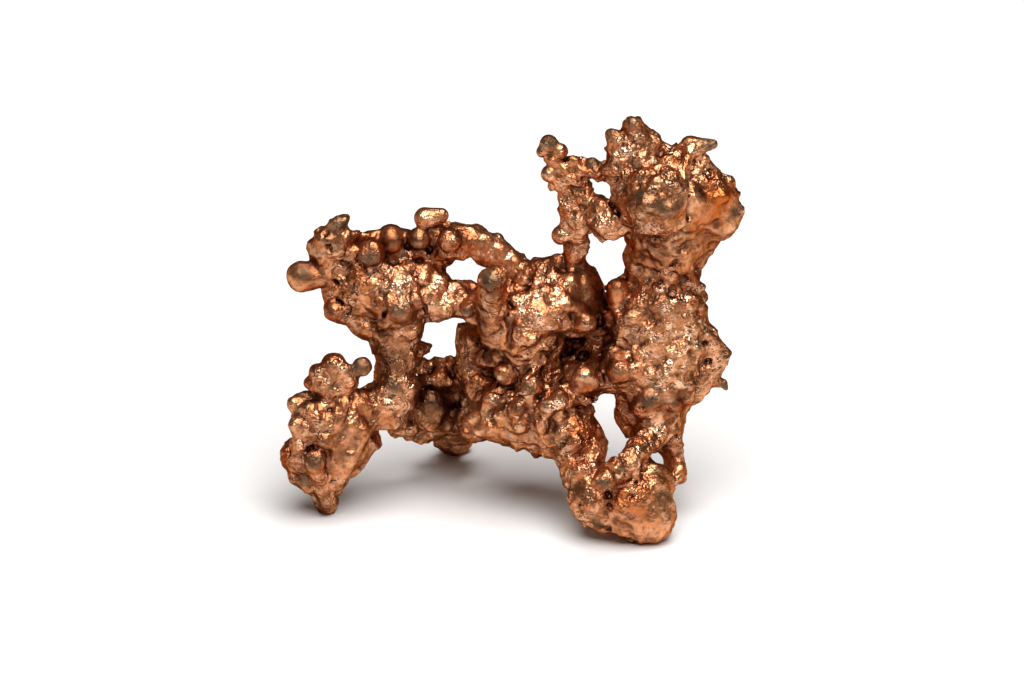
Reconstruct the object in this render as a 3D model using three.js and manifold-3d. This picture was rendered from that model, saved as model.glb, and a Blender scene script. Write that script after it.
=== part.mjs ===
// Native copper nugget: one piece of metal in lobes, strands and round beads, standing on three feet.
// Millimetres, +Z up, +Y away from the side that is shown. The origin is on the ground, below the middle.
// The shape is an implicit solid: beads, lobes and tapering strands that flow together, made into a mesh
// by marching cubes and then simplified. The feet are worn flat where the piece rests.

import * as THREE from "three";
import { MarchingCubes } from "three/addons/objects/MarchingCubes.js";
import { SimplifyModifier } from "three/addons/modifiers/SimplifyModifier.js";
import { mergeVertices } from "three/addons/utils/BufferGeometryUtils.js";
import Module from "manifold-3d";

// Driving dimensions
const WIDTH_MM = 40; // across the shown side, from the left foot's edge to the right side of the head
const WIDTH_UNITS = 46.7; // the same width on the drawing that the lumps are laid out on
const UNIT_MM = WIDTH_MM / WIDTH_UNITS;
const LEAN = THREE.MathUtils.degToRad(25); // the drawing is seen from this far above the horizon
const MIDDLE_ACROSS = 0.18; // the middle of the piece, in drawing units, which goes over the origin
const MIDDLE_BACK = 9.57;
const GRID_CELLS = 76; // marching-cubes cells along one side of the field
const GRID_SIDE = 52; // that side, in drawing units
const GRID_CENTRE = new THREE.Vector3(0.5, 8, 21);
const TARGET_TRIANGLES = 9400;

// How softly a lump runs into what is already there, in drawing units
const FLOWING = 1.6;
const SOFT = 0.8;
const BEAD = 0.25;

// A point of the drawing: across to the right, up the drawing, and how far back it really lies.
function at([across, up, back]) {
  return new THREE.Vector3(across, back, (up - back * Math.sin(LEAN)) / Math.cos(LEAN));
}

// Each entry is [softness, points], and each point is [across, up, back, radius].
// One point is a ball, and several are a strand that runs through them.
const head = [
  [FLOWING, [[15.2, 34.2, 10, 4.5]]],
  [FLOWING, [[14.8, 34.6, 7.4, 3.7]]],
  [FLOWING, [[19.2, 34.9, 10, 3.2]]],
  [SOFT, [[20.7, 33, 10.3, 2.5]]],
  [SOFT, [[21, 31.8, 10.2, 1.2]]],
  [SOFT, [[21.3, 34.9, 10.3, 1.6]]],
  [BEAD, [[22.8, 33.4, 10, 0.7]]],
  [SOFT, [[17.2, 37.6, 10, 2], [18.1, 39.8, 10, 1.1]]],
  [BEAD, [[18.1, 39.8, 10, 1.1], [20.2, 40, 9.8, 0.5]]],
  [SOFT, [[18.8, 38.2, 10, 1.4]]],
  [SOFT, [[13, 37.6, 10.2, 2.8], [12.6, 40, 10.5, 2], [12.3, 42, 10.5, 1.05]]],
  [SOFT, [[14.2, 40, 10.4, 1.1]]],
  [BEAD, [[10.8, 40.6, 10, 0.9], [10.1, 41, 10, 0.65]]],
  [SOFT, [[10.7, 39.2, 10, 1.2], [10.4, 37.4, 9.8, 1.2]]],
  [SOFT, [[11.2, 35.4, 9.5, 1.5]]],
  [SOFT, [[9.8, 32.2, 9.4, 1.9]]],
  [SOFT, [[8.8, 33.8, 10.3, 1.3]]],
  [SOFT, [[15.9, 38.9, 10, 0.9]]],
  [SOFT, [[20.3, 30.7, 10.6, 0.8], [19, 28.7, 11, 0.8]]],
];

const column = [
  [FLOWING, [[15.8, 31, 11.2, 4.3], [15.5, 28.4, 12, 3.7], [15, 26.6, 11.6, 3.2]]],
  [FLOWING, [[15, 24, 10.4, 4.2], [15.2, 20.4, 10, 4.7], [14.8, 16.4, 8.8, 4.2], [14.2, 13.4, 8, 3.3]]],
  [SOFT, [[12.4, 29.3, 10.4, 1], [12.3, 27.8, 10.2, 1]]],
  [SOFT, [[18.3, 24.8, 10.4, 1.3], [18.5, 22.2, 10.4, 1.4]]],
  [SOFT, [[10.9, 25.3, 9.4, 1.4]]],
  [FLOWING, [[11.7, 22.4, 9, 2]]],
  [FLOWING, [[11.3, 17.6, 7, 1.8]]],
  [SOFT, [[12.2, 15, 7, 1.7], [12.2, 12.8, 7.4, 1.65], [12.6, 11.4, 6.8, 1.3]]],
  [SOFT, [[19.4, 20.4, 10, 1.5], [20.5, 18.7, 10, 1.35], [19.7, 16.9, 9.6, 1.2]]],
  [BEAD, [[20.6, 19.9, 10, 0.9], [21.8, 19.2, 10, 0.4]]],
  [BEAD, [[20, 20.9, 10, 0.6], [20.6, 21.4, 10, 0.3]]],
  [BEAD, [[20.2, 16.4, 9.6, 0.7], [21.4, 16.2, 9.5, 0.4], [21.6, 15.7, 9.4, 0.3]]],
  [SOFT, [[18.4, 15.8, 9.4, 1.5]]],
  [SOFT, [[13.7, 13.8, 5.2, 1.35]]],
  [SOFT, [[14.4, 11.6, 6.5, 2], [12.7, 9.3, 2.4, 1.3], [9.1, 6.4, -3.2, 1.15]]],
  [SOFT, [[16.6, 12.8, 9, 1.2], [16.1, 9.8, 7.8, 1.3], [16.6, 6.9, 6.4, 1]]],
];

const frontFoot = [
  [FLOWING, [[12.3, 4.5, 2.2, 3.7]]],
  [FLOWING, [[14, 2.9, 1.5, 2.6]]],
  [FLOWING, [[8.8, 4.3, 2, 2.65]]],
  [SOFT, [[14.1, 6.1, 2.8, 2.2]]],
  [SOFT, [[8.7, 10, 5, 1]]],
  [FLOWING, [[7.9, 6.2, 3.2, 2.55], [6.85, 8.8, 4.6, 2.1], [5.6, 11.4, 6, 2.6]]],
];

const torso = [
  [FLOWING, [[1.6, 22.4, 9.5, 4.1]]],
  [FLOWING, [[4.6, 24.2, 9.4, 3.2]]],
  [FLOWING, [[1.8, 19, 9.5, 3.1]]],
  [SOFT, [[-1.4, 21.4, 7.8, 1.7], [-1.7, 23.6, 7.2, 1.8], [-1.7, 26.5, 4.8, 1.45]]],
  [BEAD, [[-3.8, 24, 8.5, 1.1], [-4.3, 23.4, 6.8, 0.65]]],
  [FLOWING, [[7.1, 22.4, 8, 1.6]]],
  [SOFT, [[6.5, 25.4, 11, 3]]],
  [SOFT, [[3.4, 27, 10.5, 1.8]]],
  [SOFT, [[-6, 30.3, 12, 2], [-4, 30.4, 12.4, 1.8], [-2.2, 29.6, 12.4, 1.65]]],
  [SOFT, [[-2.2, 29.6, 12.4, 1.65], [-0.2, 28.2, 12, 1.5], [2, 27.1, 11, 1.5]]],
  [SOFT, [[-8, 25, 11, 2.1], [-5.2, 24.5, 10.4, 2], [-2, 24, 10, 2]]],
  [SOFT, [[-0.6, 26, 11.5, 1.6]]],
];

const twig = [
  [SOFT, [[6.5, 27.8, 11, 1.2], [6.7, 29.4, 11, 1.25], [6.6, 31.6, 11, 1.35]]],
  [SOFT, [[6.6, 31.6, 11, 1.35], [6.3, 34.2, 11.3, 1.6], [6.4, 36.6, 11.4, 1.4], [6.3, 37.9, 11.4, 1.15]]],
  [SOFT, [[5.7, 35.5, 11, 1]]],
  [SOFT, [[7.6, 35.6, 11.3, 0.9]]],
  [SOFT, [[4.6, 28.2, 11, 0.9]]],
  [SOFT, [[4.4, 36.1, 11, 0.6]]],
  [SOFT, [[4.3, 38.5, 11.4, 0.85], [5.2, 37.6, 11.4, 0.8]]],
  [BEAD, [[3.9, 40, 11.5, 0.95]]],
  [BEAD, [[3.2, 39.3, 11.3, 0.65]]],
  [BEAD, [[5, 39.3, 11.2, 0.8]]],
  [BEAD, [[4, 37.1, 11, 0.95]]],
  [SOFT, [[7.2, 37.3, 11, 0.8]]],
  [BEAD, [[8.2, 38, 11, 0.75]]],
  [BEAD, [[5.1, 31, 10.6, 1]]],
  [SOFT, [[8, 37.4, 11, 0.9], [10.4, 37, 10.5, 1]]],
  [SOFT, [[7, 32.6, 11, 1.3], [9.6, 32.6, 10.2, 1.4]]],
];

const hips = [
  [FLOWING, [[2.3, 13.6, 8, 3.8]]],
  [FLOWING, [[-0.5, 13.2, 8.5, 3.1]]],
  [FLOWING, [[3, 11.2, 7.2, 2.3]]],
  [SOFT, [[6.3, 13.6, 7.2, 1.7], [7, 11, 6, 1.9]]],
  [SOFT, [[7.4, 16.2, 5.8, 1.45]]],
  [SOFT, [[8.2, 15.8, 6.4, 1.1], [10.2, 16.6, 7, 1.2]]],
  [SOFT, [[7.4, 14.8, 6.2, 1.2]]],
  [SOFT, [[0.8, 13.8, 4.9, 1.25]]],
  [SOFT, [[3.7, 13.8, 4.3, 1.25]]],
  [SOFT, [[2.1, 15.7, 5, 1.25]]],
  [SOFT, [[5.2, 14.7, 4.8, 1.4]]],
  [SOFT, [[3.4, 12.6, 5, 1.2]]],
  [BEAD, [[-0.2, 17, 7.5, 1.1]]],
  [FLOWING, [[8.5, 20, 13, 2.5]]],
  [FLOWING, [[9, 23, 13, 2.3]]],
  [FLOWING, [[5.4, 18.6, 12.5, 2.4]]],
  [FLOWING, [[-2.4, 19.2, 12, 2]]],
];

const leftCluster = [
  [FLOWING, [[-13.5, 26, 11, 3.7], [-9.6, 25.6, 11, 3.3]]],
  [SOFT, [[-17, 23.5, 10.5, 1.6]]],
  [SOFT, [[-13.6, 21.6, 10, 1.4]]],
  [SOFT, [[-17.6, 25.5, 10.8, 1.3]]],
  [SOFT, [[-14.9, 22.3, 10, 1.5]]],
  [SOFT, [[-11, 22.4, 10, 2]]],
  [SOFT, [[-11.4, 24, 8.2, 2.1]]],
  [SOFT, [[-13.8, 29.2, 9, 1.4]]],
  [BEAD, [[-11.3, 29.5, 9, 0.6]]],
  [SOFT, [[-14.4, 30, 11.5, 1.2]]],
  [SOFT, [[-16, 29.4, 11, 1.2]]],
  [SOFT, [[-17.7, 30.5, 11, 1.9], [-16.8, 32.3, 11, 1]]],
  [SOFT, [[-18.6, 30.4, 11, 0.9], [-19.9, 30, 11, 0.35]]],
  [SOFT, [[-18.3, 28.8, 11, 1.6], [-17.2, 27.4, 11.2, 1.4]]],
  [BEAD, [[-18.4, 27, 11, 1.2], [-20.8, 26.85, 10.8, 1.6]]],
  [BEAD, [[-11.9, 30.6, 11.5, 1.5]]],
  [BEAD, [[-9.1, 30.6, 11, 1.2]]],
  [BEAD, [[-6, 30.4, 10.2, 1.2]]],
  [BEAD, [[-8.5, 32.7, 11.5, 1.1], [-6.9, 32.9, 11.5, 0.8]]],
  [SOFT, [[-10.4, 31, 11.8, 0.8]]],
  [SOFT, [[-13.6, 30.9, 11.6, 0.8]]],
  [SOFT, [[-15.5, 31.1, 11, 0.7]]],
  [SOFT, [[-7.8, 31.4, 11.8, 0.9]]],
  [SOFT, [[-8.6, 19.7, 12, 0.9]]],
  [SOFT, [[-10.4, 29.2, 12, 1.4], [-7.8, 29.2, 12.4, 1.4], [-6.8, 29.2, 12.4, 1.2]]],
];

const leftLeg = [
  [FLOWING, [[-11.2, 21, 10.5, 2.3], [-11.3, 18, 10, 2.1], [-11.6, 15, 9.5, 2.4], [-11.6, 13.2, 9, 1.8]]],
  [FLOWING, [[-13.6, 13.8, 8.8, 1.8], [-16, 13.2, 8, 2.5]]],
  [FLOWING, [[-18.6, 12.6, 7.6, 3.2], [-17, 10.4, 7.6, 3.1]]],
  [SOFT, [[-21.3, 14.2, 7.5, 0.95]]],
  [SOFT, [[-21.2, 9.2, 7.2, 1.9]]],
  [SOFT, [[-20.8, 7.2, 7.4, 1.6]]],
  [FLOWING, [[-18.4, 7.4, 7.6, 2.4], [-18.5, 4.3, 7.6, 1.15], [-18.4, 3.6, 7.6, 0.95]]],
  [SOFT, [[-14.4, 10, 8, 1.5]]],
  [SOFT, [[-16, 8.7, 8, 1.6]]],
  [BEAD, [[-17.6, 18, 7.5, 1.3]]],
  [BEAD, [[-19.2, 17.2, 7.5, 0.95]]],
  [BEAD, [[-19.9, 16.2, 7.5, 0.75]]],
  [BEAD, [[-16.4, 17.2, 7, 1]]],
  [BEAD, [[-14.8, 17.85, 7.2, 1]]],
  [SOFT, [[-16, 16.3, 7.4, 1]]],
  [SOFT, [[-15, 14.4, 8, 1.3]]],
  [SOFT, [[-18, 15.8, 7.5, 1.7]]],
  [BEAD, [[-19.3, 8.8, 4.6, 0.95]]],
  [SOFT, [[-20.9, 11.6, 5.8, 1.1], [-20.8, 8, 6.2, 1]]],
];

const backFoot = [
  [SOFT, [[-8.2, 13.9, 13, 2.4]]],
  [SOFT, [[-10.6, 15.8, 11.8, 0.8], [-8.6, 16.4, 11.8, 0.8], [-6.4, 16.6, 11.8, 0.8]]],
  [SOFT, [[-9, 17.8, 13, 0.9], [-6, 17.8, 13, 1]]],
  [SOFT, [[-3, 16, 12, 1.8]]],
  [SOFT, [[-5.4, 15.2, 14, 1.5]]],
  [SOFT, [[-4, 12.8, 13, 1.8]]],
  [SOFT, [[-3.4, 11.5, 12.5, 1.5]]],
  [SOFT, [[-11, 11.9, 14, 1.4], [-8.4, 11.5, 15, 1.4]]],
  [SOFT, [[-6.6, 13, 15.5, 2.3], [-5, 12.4, 17.4, 2.2], [-6.1, 11, 19.6, 1.8], [-5.3, 10.2, 22, 1.5]]],
  [SOFT, [[-3.9, 12.8, 19, 1.2]]],
  [SOFT, [[-7.6, 12.6, 18.6, 1.1]]],
  [SOFT, [[-4, 18, 12.5, 1.8], [-2, 15, 11, 2.2]]],
  [SOFT, [[-4, 21, 12.5, 1.5], [-3.9, 18, 12.5, 1.7]]],
];

// The far side, which the photo doesn't show: lumps of the same kind on the backs of the masses
const farSide = [
  [FLOWING, [[1.5, 23.5, 13.4, 2.6], [5, 25, 14, 2.2]]],
  [SOFT, [[4.2, 21.5, 15.2, 1.4]]],
  [FLOWING, [[14.6, 22.5, 14, 3], [15.6, 18.6, 13.2, 2.6]]],
  [SOFT, [[17, 21, 15.4, 1.5]]],
  [FLOWING, [[15.6, 35, 13.6, 2.8]]],
  [SOFT, [[12.6, 34, 14.6, 1.4]]],
  [FLOWING, [[-12, 26, 14, 2.4]]],
  [SOFT, [[-14.8, 27, 15, 1.4]]],
  [SOFT, [[-8.6, 27.2, 14.4, 1.3]]],
  [FLOWING, [[-17.4, 13, 11, 2.2]]],
  [SOFT, [[1.8, 13.8, 12.4, 2.4]]],
  [SOFT, [[3.6, 12.8, 13.8, 1.2]]],
];

// Hollows and cracks that run into the metal
const dents = [
  [BEAD, [[-5.6, 15.6, 10.4, 0.5], [-5.6, 12, 10.8, 0.5]]],
  [BEAD, [[19.2, 35.4, 6.4, 0.5]]],
];

// Distance from a point to a strand, treating each stretch between two points as a tapering capsule.
const toPoint = new THREE.Vector3();
function strandDistance(p, strand) {
  let nearest = Infinity;
  for (const { start, span, spanSquared, startRadius, endRadius } of strand.stretches) {
    const share = spanSquared ? toPoint.subVectors(p, start).dot(span) / spanSquared : 0;
    const along = THREE.MathUtils.clamp(share, 0, 1);
    const gap = toPoint.subVectors(p, start).addScaledVector(span, -along).length();
    nearest = Math.min(nearest, gap - THREE.MathUtils.lerp(startRadius, endRadius, along));
  }
  return nearest;
}

function strandFrom([softness, points]) {
  const places = points.map((point) => ({ centre: at(point), radius: point[3] }));
  const ends = places.length > 1 ? places.slice(1) : places;
  const stretches = ends.map((end, i) => {
    const span = end.centre.clone().sub(places[i].centre);
    return {
      start: places[i].centre,
      span,
      spanSquared: span.lengthSq(),
      startRadius: places[i].radius,
      endRadius: end.radius,
    };
  });
  const reach = new THREE.Box3();
  for (const { centre, radius } of places) {
    reach.union(new THREE.Box3().setFromCenterAndSize(centre, new THREE.Vector3().setScalar(2 * radius)));
  }
  return { softness, stretches, reach };
}

// Joins two distances so that the surfaces run together over a length of about softness.
function flowTogether(a, b, softness) {
  const mix = Math.max(softness - Math.abs(a - b), 0) / softness;
  return Math.min(a, b) - (mix * mix * softness) / 4;
}

// Rolling lumps about two and a half units apart, from waves that cross in three directions.
function relief(p) {
  const x = p.x + 0.7 * Math.sin(0.9 * p.y + 0.4 * p.z);
  const y = p.y + 0.7 * Math.sin(0.8 * p.z + 0.5 * p.x);
  const z = p.z + 0.7 * Math.sin(0.7 * p.x + 0.6 * p.y);
  const crossing = (u, v) => Math.sin(u) * Math.cos(v);
  const waves = (k) => crossing(k * x, k * y) + crossing(k * y, k * z) + crossing(k * z, k * x);
  return 0.1 * waves(2.1) + 0.07 * waves(3.4);
}

// Fills the marching-cubes field, which is positive inside the metal.
function fillField(cubes, strands, hollows) {
  const cell = GRID_SIDE / GRID_CELLS;
  const margin = 3;
  const low = GRID_CENTRE.clone().subScalar(GRID_SIDE / 2);
  const lastIndex = GRID_CELLS - 1;
  const index = (value, axis) => THREE.MathUtils.clamp(Math.round((value - low[axis]) / cell), 0, lastIndex);
  cubes.field.fill(-margin);
  const p = new THREE.Vector3();
  for (const strand of strands) {
    const [from, to] = [strand.reach.min, strand.reach.max];
    for (let k = index(from.z - margin, "z"); k <= index(to.z + margin, "z"); k++) {
      for (let j = index(from.y - margin, "y"); j <= index(to.y + margin, "y"); j++) {
        for (let i = index(from.x - margin, "x"); i <= index(to.x + margin, "x"); i++) {
          const cellIndex = (k * GRID_CELLS + j) * GRID_CELLS + i;
          p.set(i, j, k).multiplyScalar(cell).add(low);
          const joined = flowTogether(-cubes.field[cellIndex], strandDistance(p, strand), strand.softness);
          cubes.field[cellIndex] = -joined;
        }
      }
    }
  }
  for (let k = 0, cellIndex = 0; k < GRID_CELLS; k++) {
    for (let j = 0; j < GRID_CELLS; j++) {
      for (let i = 0; i < GRID_CELLS; i++, cellIndex++) {
        if (Math.abs(cubes.field[cellIndex]) > 2) continue;
        p.set(i, j, k).multiplyScalar(cell).add(low);
        cubes.field[cellIndex] += relief(p);
        for (const dent of hollows) {
          const cut = flowTogether(cubes.field[cellIndex], strandDistance(p, dent), dent.softness);
          cubes.field[cellIndex] = cut;
        }
      }
    }
  }
}

async function surfaceOf(strands, hollows) {
  const cubes = new MarchingCubes(GRID_CELLS, new THREE.MeshBasicMaterial(), false, false, 120000);
  cubes.isolation = 0;
  fillField(cubes, strands, hollows);
  cubes.update();
  const soup = new THREE.BufferGeometry();
  soup.setAttribute("position", new THREE.BufferAttribute(cubes.positionArray.slice(0, cubes.count * 3), 3));
  soup.scale(GRID_SIDE / 2, GRID_SIDE / 2, GRID_SIDE / 2);
  soup.translate(GRID_CENTRE.x, GRID_CENTRE.y, GRID_CENTRE.z);
  const merged = mergeVertices(soup, 1e-3);
  const surplus = merged.attributes.position.count - TARGET_TRIANGLES / 2;
  const simplified = await new SimplifyModifier().modify(merged, surplus);
  return simplified.scale(UNIT_MM, UNIT_MM, UNIT_MM);
}

const wasm = await Module();
wasm.setup();

function solidFrom(geometry) {
  const plain = new THREE.BufferGeometry().setAttribute("position", geometry.attributes.position);
  plain.setIndex(geometry.index);
  const merged = mergeVertices(plain);
  const mesh = new wasm.Mesh({
    numProp: 3,
    vertProperties: new Float32Array(merged.attributes.position.array),
    triVerts: new Uint32Array(merged.index.array),
  });
  return new wasm.Manifold(mesh);
}

function geometryFrom(solid) {
  const { vertProperties, triVerts } = solid.getMesh();
  const geometry = new THREE.BufferGeometry();
  geometry.setAttribute("position", new THREE.BufferAttribute(vertProperties, 3));
  geometry.setIndex(new THREE.BufferAttribute(triVerts, 1));
  return geometry;
}

// The metal is solid: only its outer skin is kept, so pockets sealed between lumps are filled.
function outerSkin(solid) {
  return solid.decompose().reduce((largest, shell) => (shell.volume() > largest.volume() ? shell : largest));
}

// The ground: everything below Z = 0 is worn away, which leaves a flat under each foot.
function wearFeetFlat(solid) {
  const ground = new THREE.BoxGeometry(100, 100, 20).translate(0, 0, -10);
  return solid.subtract(solidFrom(ground));
}

const masses = [torso, hips, column, head, frontFoot, twig, leftCluster, leftLeg, backFoot, farSide];
const strands = masses.flat().map(strandFrom);
const hollows = dents.map(strandFrom);
const copper = new THREE.MeshStandardMaterial({ color: 0xb5643c, roughness: 0.42, metalness: 1 });
const grown = outerSkin(solidFrom(await surfaceOf(strands, hollows)));
const nugget = new THREE.Mesh(geometryFrom(wearFeetFlat(grown)), copper);
nugget.position.set(-MIDDLE_ACROSS * UNIT_MM, -MIDDLE_BACK * UNIT_MM, 0);
nugget.name = "nugget";

const part = new THREE.Group();
part.add(nugget);
export default part;
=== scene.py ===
"""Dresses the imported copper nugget: a finely lumped skin in place of its plain solid, on a white floor.

The skin is worked out from the same beads, lobes and strands as the solid, on a finer grid, with the
knobs, crests, grains and pits of native copper added. Sizes inside the field are in drawing units, and
they become metres in the mesh.
"""

import math

import bpy
import numpy as np
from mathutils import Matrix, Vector


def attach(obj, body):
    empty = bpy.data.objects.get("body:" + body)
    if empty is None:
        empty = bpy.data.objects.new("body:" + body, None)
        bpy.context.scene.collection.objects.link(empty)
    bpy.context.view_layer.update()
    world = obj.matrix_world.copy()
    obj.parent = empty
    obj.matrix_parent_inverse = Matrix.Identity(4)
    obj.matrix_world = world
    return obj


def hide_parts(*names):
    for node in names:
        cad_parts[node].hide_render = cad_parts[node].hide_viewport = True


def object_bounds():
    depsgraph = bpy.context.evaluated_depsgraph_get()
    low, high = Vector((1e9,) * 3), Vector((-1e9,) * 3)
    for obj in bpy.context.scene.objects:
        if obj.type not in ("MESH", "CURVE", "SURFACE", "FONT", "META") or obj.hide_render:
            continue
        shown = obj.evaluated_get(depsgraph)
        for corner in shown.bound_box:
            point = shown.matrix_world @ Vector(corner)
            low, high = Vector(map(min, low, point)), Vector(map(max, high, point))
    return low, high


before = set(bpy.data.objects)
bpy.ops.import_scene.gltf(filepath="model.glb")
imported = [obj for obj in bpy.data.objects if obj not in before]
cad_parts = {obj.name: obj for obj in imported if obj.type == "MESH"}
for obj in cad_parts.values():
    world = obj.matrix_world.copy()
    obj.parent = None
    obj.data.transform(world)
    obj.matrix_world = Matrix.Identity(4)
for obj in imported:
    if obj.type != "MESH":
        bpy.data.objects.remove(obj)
cad_low, cad_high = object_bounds()

WIDTH_MM = 40.0
WIDTH_UNITS = 46.7  # the same width on the drawing that the lumps are laid out on
UNIT = WIDTH_MM / WIDTH_UNITS / 1000  # one drawing unit, in metres
LEAN = math.radians(25)  # the drawing is seen from this far above the horizon
MIDDLE = np.array([0.18, 9.57, 0.0])  # the place that goes over the origin, in drawing units
MOST_TRIANGLES = 190_000

# The grid that the skin is worked out on, in drawing units
CELL = 0.2
ROOM = 1.0  # at least this much is left about the lumps
MARGIN = 1.9  # how far past its own surface a lump is worked out
DENT_MARGIN = 2.5  # the same for a hollow, past the middle of its strand
OUTSIDE = -3.0  # the value far from the metal
BARELY_INSIDE = 0.01
MENDING_ROUNDS = 12

# Where metal is looked for behind a place of the drawing, in drawing units
FIRST_BACK = -8
LAST_BACK = 24
BACK_STEP = 0.1
USUAL_BACK = 9.0
SPOT_SIZE = 0.5  # a point that shows this near to a place of the drawing counts as being there

# How softly a lump runs into what is already there, in drawing units
FLOWING = 1.6
SOFT = 0.8
BEAD = 0.25
KNOB = 0.45

# How far the middle of a detail lies behind the front of the metal, as a share of its radius
KNOB_SUNK = 0.4
CREST_SUNK = 0.5
PIT_SUNK = 0.2
GROOVE_SUNK = 0.1

# Relief of the skin
TABLE = 32  # the random tables repeat after this many spacings
RELIEF_BAND = 1.2  # the relief is added this near to the surface, in drawing units
BEAD_BAND = 0.8  # the same on the beads, where it is faint
GRAIN_LEVEL = 0.67  # the usual height of a grain, taken off so that grains don't swell the metal
PIT_LEVEL = 0.84  # pits are the middles of wide grains, turned in
PIT_DEPTH = 2.4
SMOOTHEST = 0.55
ROUGHEST = 1.3
GRAINY_ROUGHNESS = 1.2

# What shades the skin: metal above and in front of it, and metal close about it, in drawing units
TOWARDS_LIGHT = np.array([0, -0.34, 0.94])
SHELTER_STEPS = (1.4, 2.6, 4, 5.6)
SHELTER_BLUR = 0.8
HOLLOW_BLUR = 1.6
CREASE_BLUR = 0.45

# The masses: each entry is [softness, points], and each point is [across, up, back, radius] on the
# drawing. One point is a ball, and several are a strand that runs through them.

HEAD = [
    [FLOWING, [[15.2, 34.2, 10, 4.5]]],
    [FLOWING, [[14.8, 34.6, 7.4, 3.7]]],
    [FLOWING, [[19.2, 34.9, 10, 3.2]]],
    [SOFT, [[20.7, 33, 10.3, 2.5]]],
    [SOFT, [[21, 31.8, 10.2, 1.2]]],
    [SOFT, [[21.3, 34.9, 10.3, 1.6]]],
    [BEAD, [[22.8, 33.4, 10, 0.7]]],
    [SOFT, [[17.2, 37.6, 10, 2], [18.1, 39.8, 10, 1.1]]],
    [BEAD, [[18.1, 39.8, 10, 1.1], [20.2, 40, 9.8, 0.5]]],
    [SOFT, [[18.8, 38.2, 10, 1.4]]],
    [SOFT, [[13, 37.6, 10.2, 2.8], [12.6, 40, 10.5, 2], [12.3, 42, 10.5, 1.05]]],
    [SOFT, [[14.2, 40, 10.4, 1.1]]],
    [BEAD, [[10.8, 40.6, 10, 0.9], [10.1, 41, 10, 0.65]]],
    [SOFT, [[10.7, 39.2, 10, 1.2], [10.4, 37.4, 9.8, 1.2]]],
    [SOFT, [[11.2, 35.4, 9.5, 1.5]]],
    [SOFT, [[9.8, 32.2, 9.4, 1.9]]],
    [SOFT, [[8.8, 33.8, 10.3, 1.3]]],
    [SOFT, [[15.9, 38.9, 10, 0.9]]],
    [SOFT, [[20.3, 30.7, 10.6, 0.8], [19, 28.7, 11, 0.8]]],
]

COLUMN = [
    [FLOWING, [[15.8, 31, 11.2, 4.3], [15.5, 28.4, 12, 3.7], [15, 26.6, 11.6, 3.2]]],
    [FLOWING, [[15, 24, 10.4, 4.2], [15.2, 20.4, 10, 4.7], [14.8, 16.4, 8.8, 4.2], [14.2, 13.4, 8, 3.3]]],
    [SOFT, [[12.4, 29.3, 10.4, 1], [12.3, 27.8, 10.2, 1]]],
    [SOFT, [[18.3, 24.8, 10.4, 1.3], [18.5, 22.2, 10.4, 1.4]]],
    [SOFT, [[10.9, 25.3, 9.4, 1.4]]],
    [FLOWING, [[11.7, 22.4, 9, 2]]],
    [FLOWING, [[11.3, 17.6, 7, 1.8]]],
    [SOFT, [[12.2, 15, 7, 1.7], [12.2, 12.8, 7.4, 1.65], [12.6, 11.4, 6.8, 1.3]]],
    [SOFT, [[19.4, 20.4, 10, 1.5], [20.5, 18.7, 10, 1.35], [19.7, 16.9, 9.6, 1.2]]],
    [BEAD, [[20.6, 19.9, 10, 0.9], [21.8, 19.2, 10, 0.4]]],
    [BEAD, [[20, 20.9, 10, 0.6], [20.6, 21.4, 10, 0.3]]],
    [BEAD, [[20.2, 16.4, 9.6, 0.7], [21.4, 16.2, 9.5, 0.4], [21.6, 15.7, 9.4, 0.3]]],
    [SOFT, [[18.4, 15.8, 9.4, 1.5]]],
    [SOFT, [[13.7, 13.8, 5.2, 1.35]]],
    [SOFT, [[14.4, 11.6, 6.5, 2], [12.7, 9.3, 2.4, 1.3], [9.1, 6.4, -3.2, 1.15]]],
    [SOFT, [[16.6, 12.8, 9, 1.2], [16.1, 9.8, 7.8, 1.3], [16.6, 6.9, 6.4, 1]]],
]

FRONT_FOOT = [
    [FLOWING, [[12.3, 4.5, 2.2, 3.7]]],
    [FLOWING, [[14, 2.9, 1.5, 2.6]]],
    [FLOWING, [[8.8, 4.3, 2, 2.65]]],
    [SOFT, [[14.1, 6.1, 2.8, 2.2]]],
    [SOFT, [[8.7, 10, 5, 1]]],
    [FLOWING, [[7.9, 6.2, 3.2, 2.55], [6.85, 8.8, 4.6, 2.1], [5.6, 11.4, 6, 2.6]]],
]

TORSO = [
    [FLOWING, [[1.6, 22.4, 9.5, 4.1]]],
    [FLOWING, [[4.6, 24.2, 9.4, 3.2]]],
    [FLOWING, [[1.8, 19, 9.5, 3.1]]],
    [SOFT, [[-1.4, 21.4, 7.8, 1.7], [-1.7, 23.6, 7.2, 1.8], [-1.7, 26.5, 4.8, 1.45]]],
    [BEAD, [[-3.8, 24, 8.5, 1.1], [-4.3, 23.4, 6.8, 0.65]]],
    [FLOWING, [[7.1, 22.4, 8, 1.6]]],
    [SOFT, [[6.5, 25.4, 11, 3]]],
    [SOFT, [[3.4, 27, 10.5, 1.8]]],
    [SOFT, [[-6, 30.3, 12, 2], [-4, 30.4, 12.4, 1.8], [-2.2, 29.6, 12.4, 1.65]]],
    [SOFT, [[-2.2, 29.6, 12.4, 1.65], [-0.2, 28.2, 12, 1.5], [2, 27.1, 11, 1.5]]],
    [SOFT, [[-8, 25, 11, 2.1], [-5.2, 24.5, 10.4, 2], [-2, 24, 10, 2]]],
    [SOFT, [[-0.6, 26, 11.5, 1.6]]],
]

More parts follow.
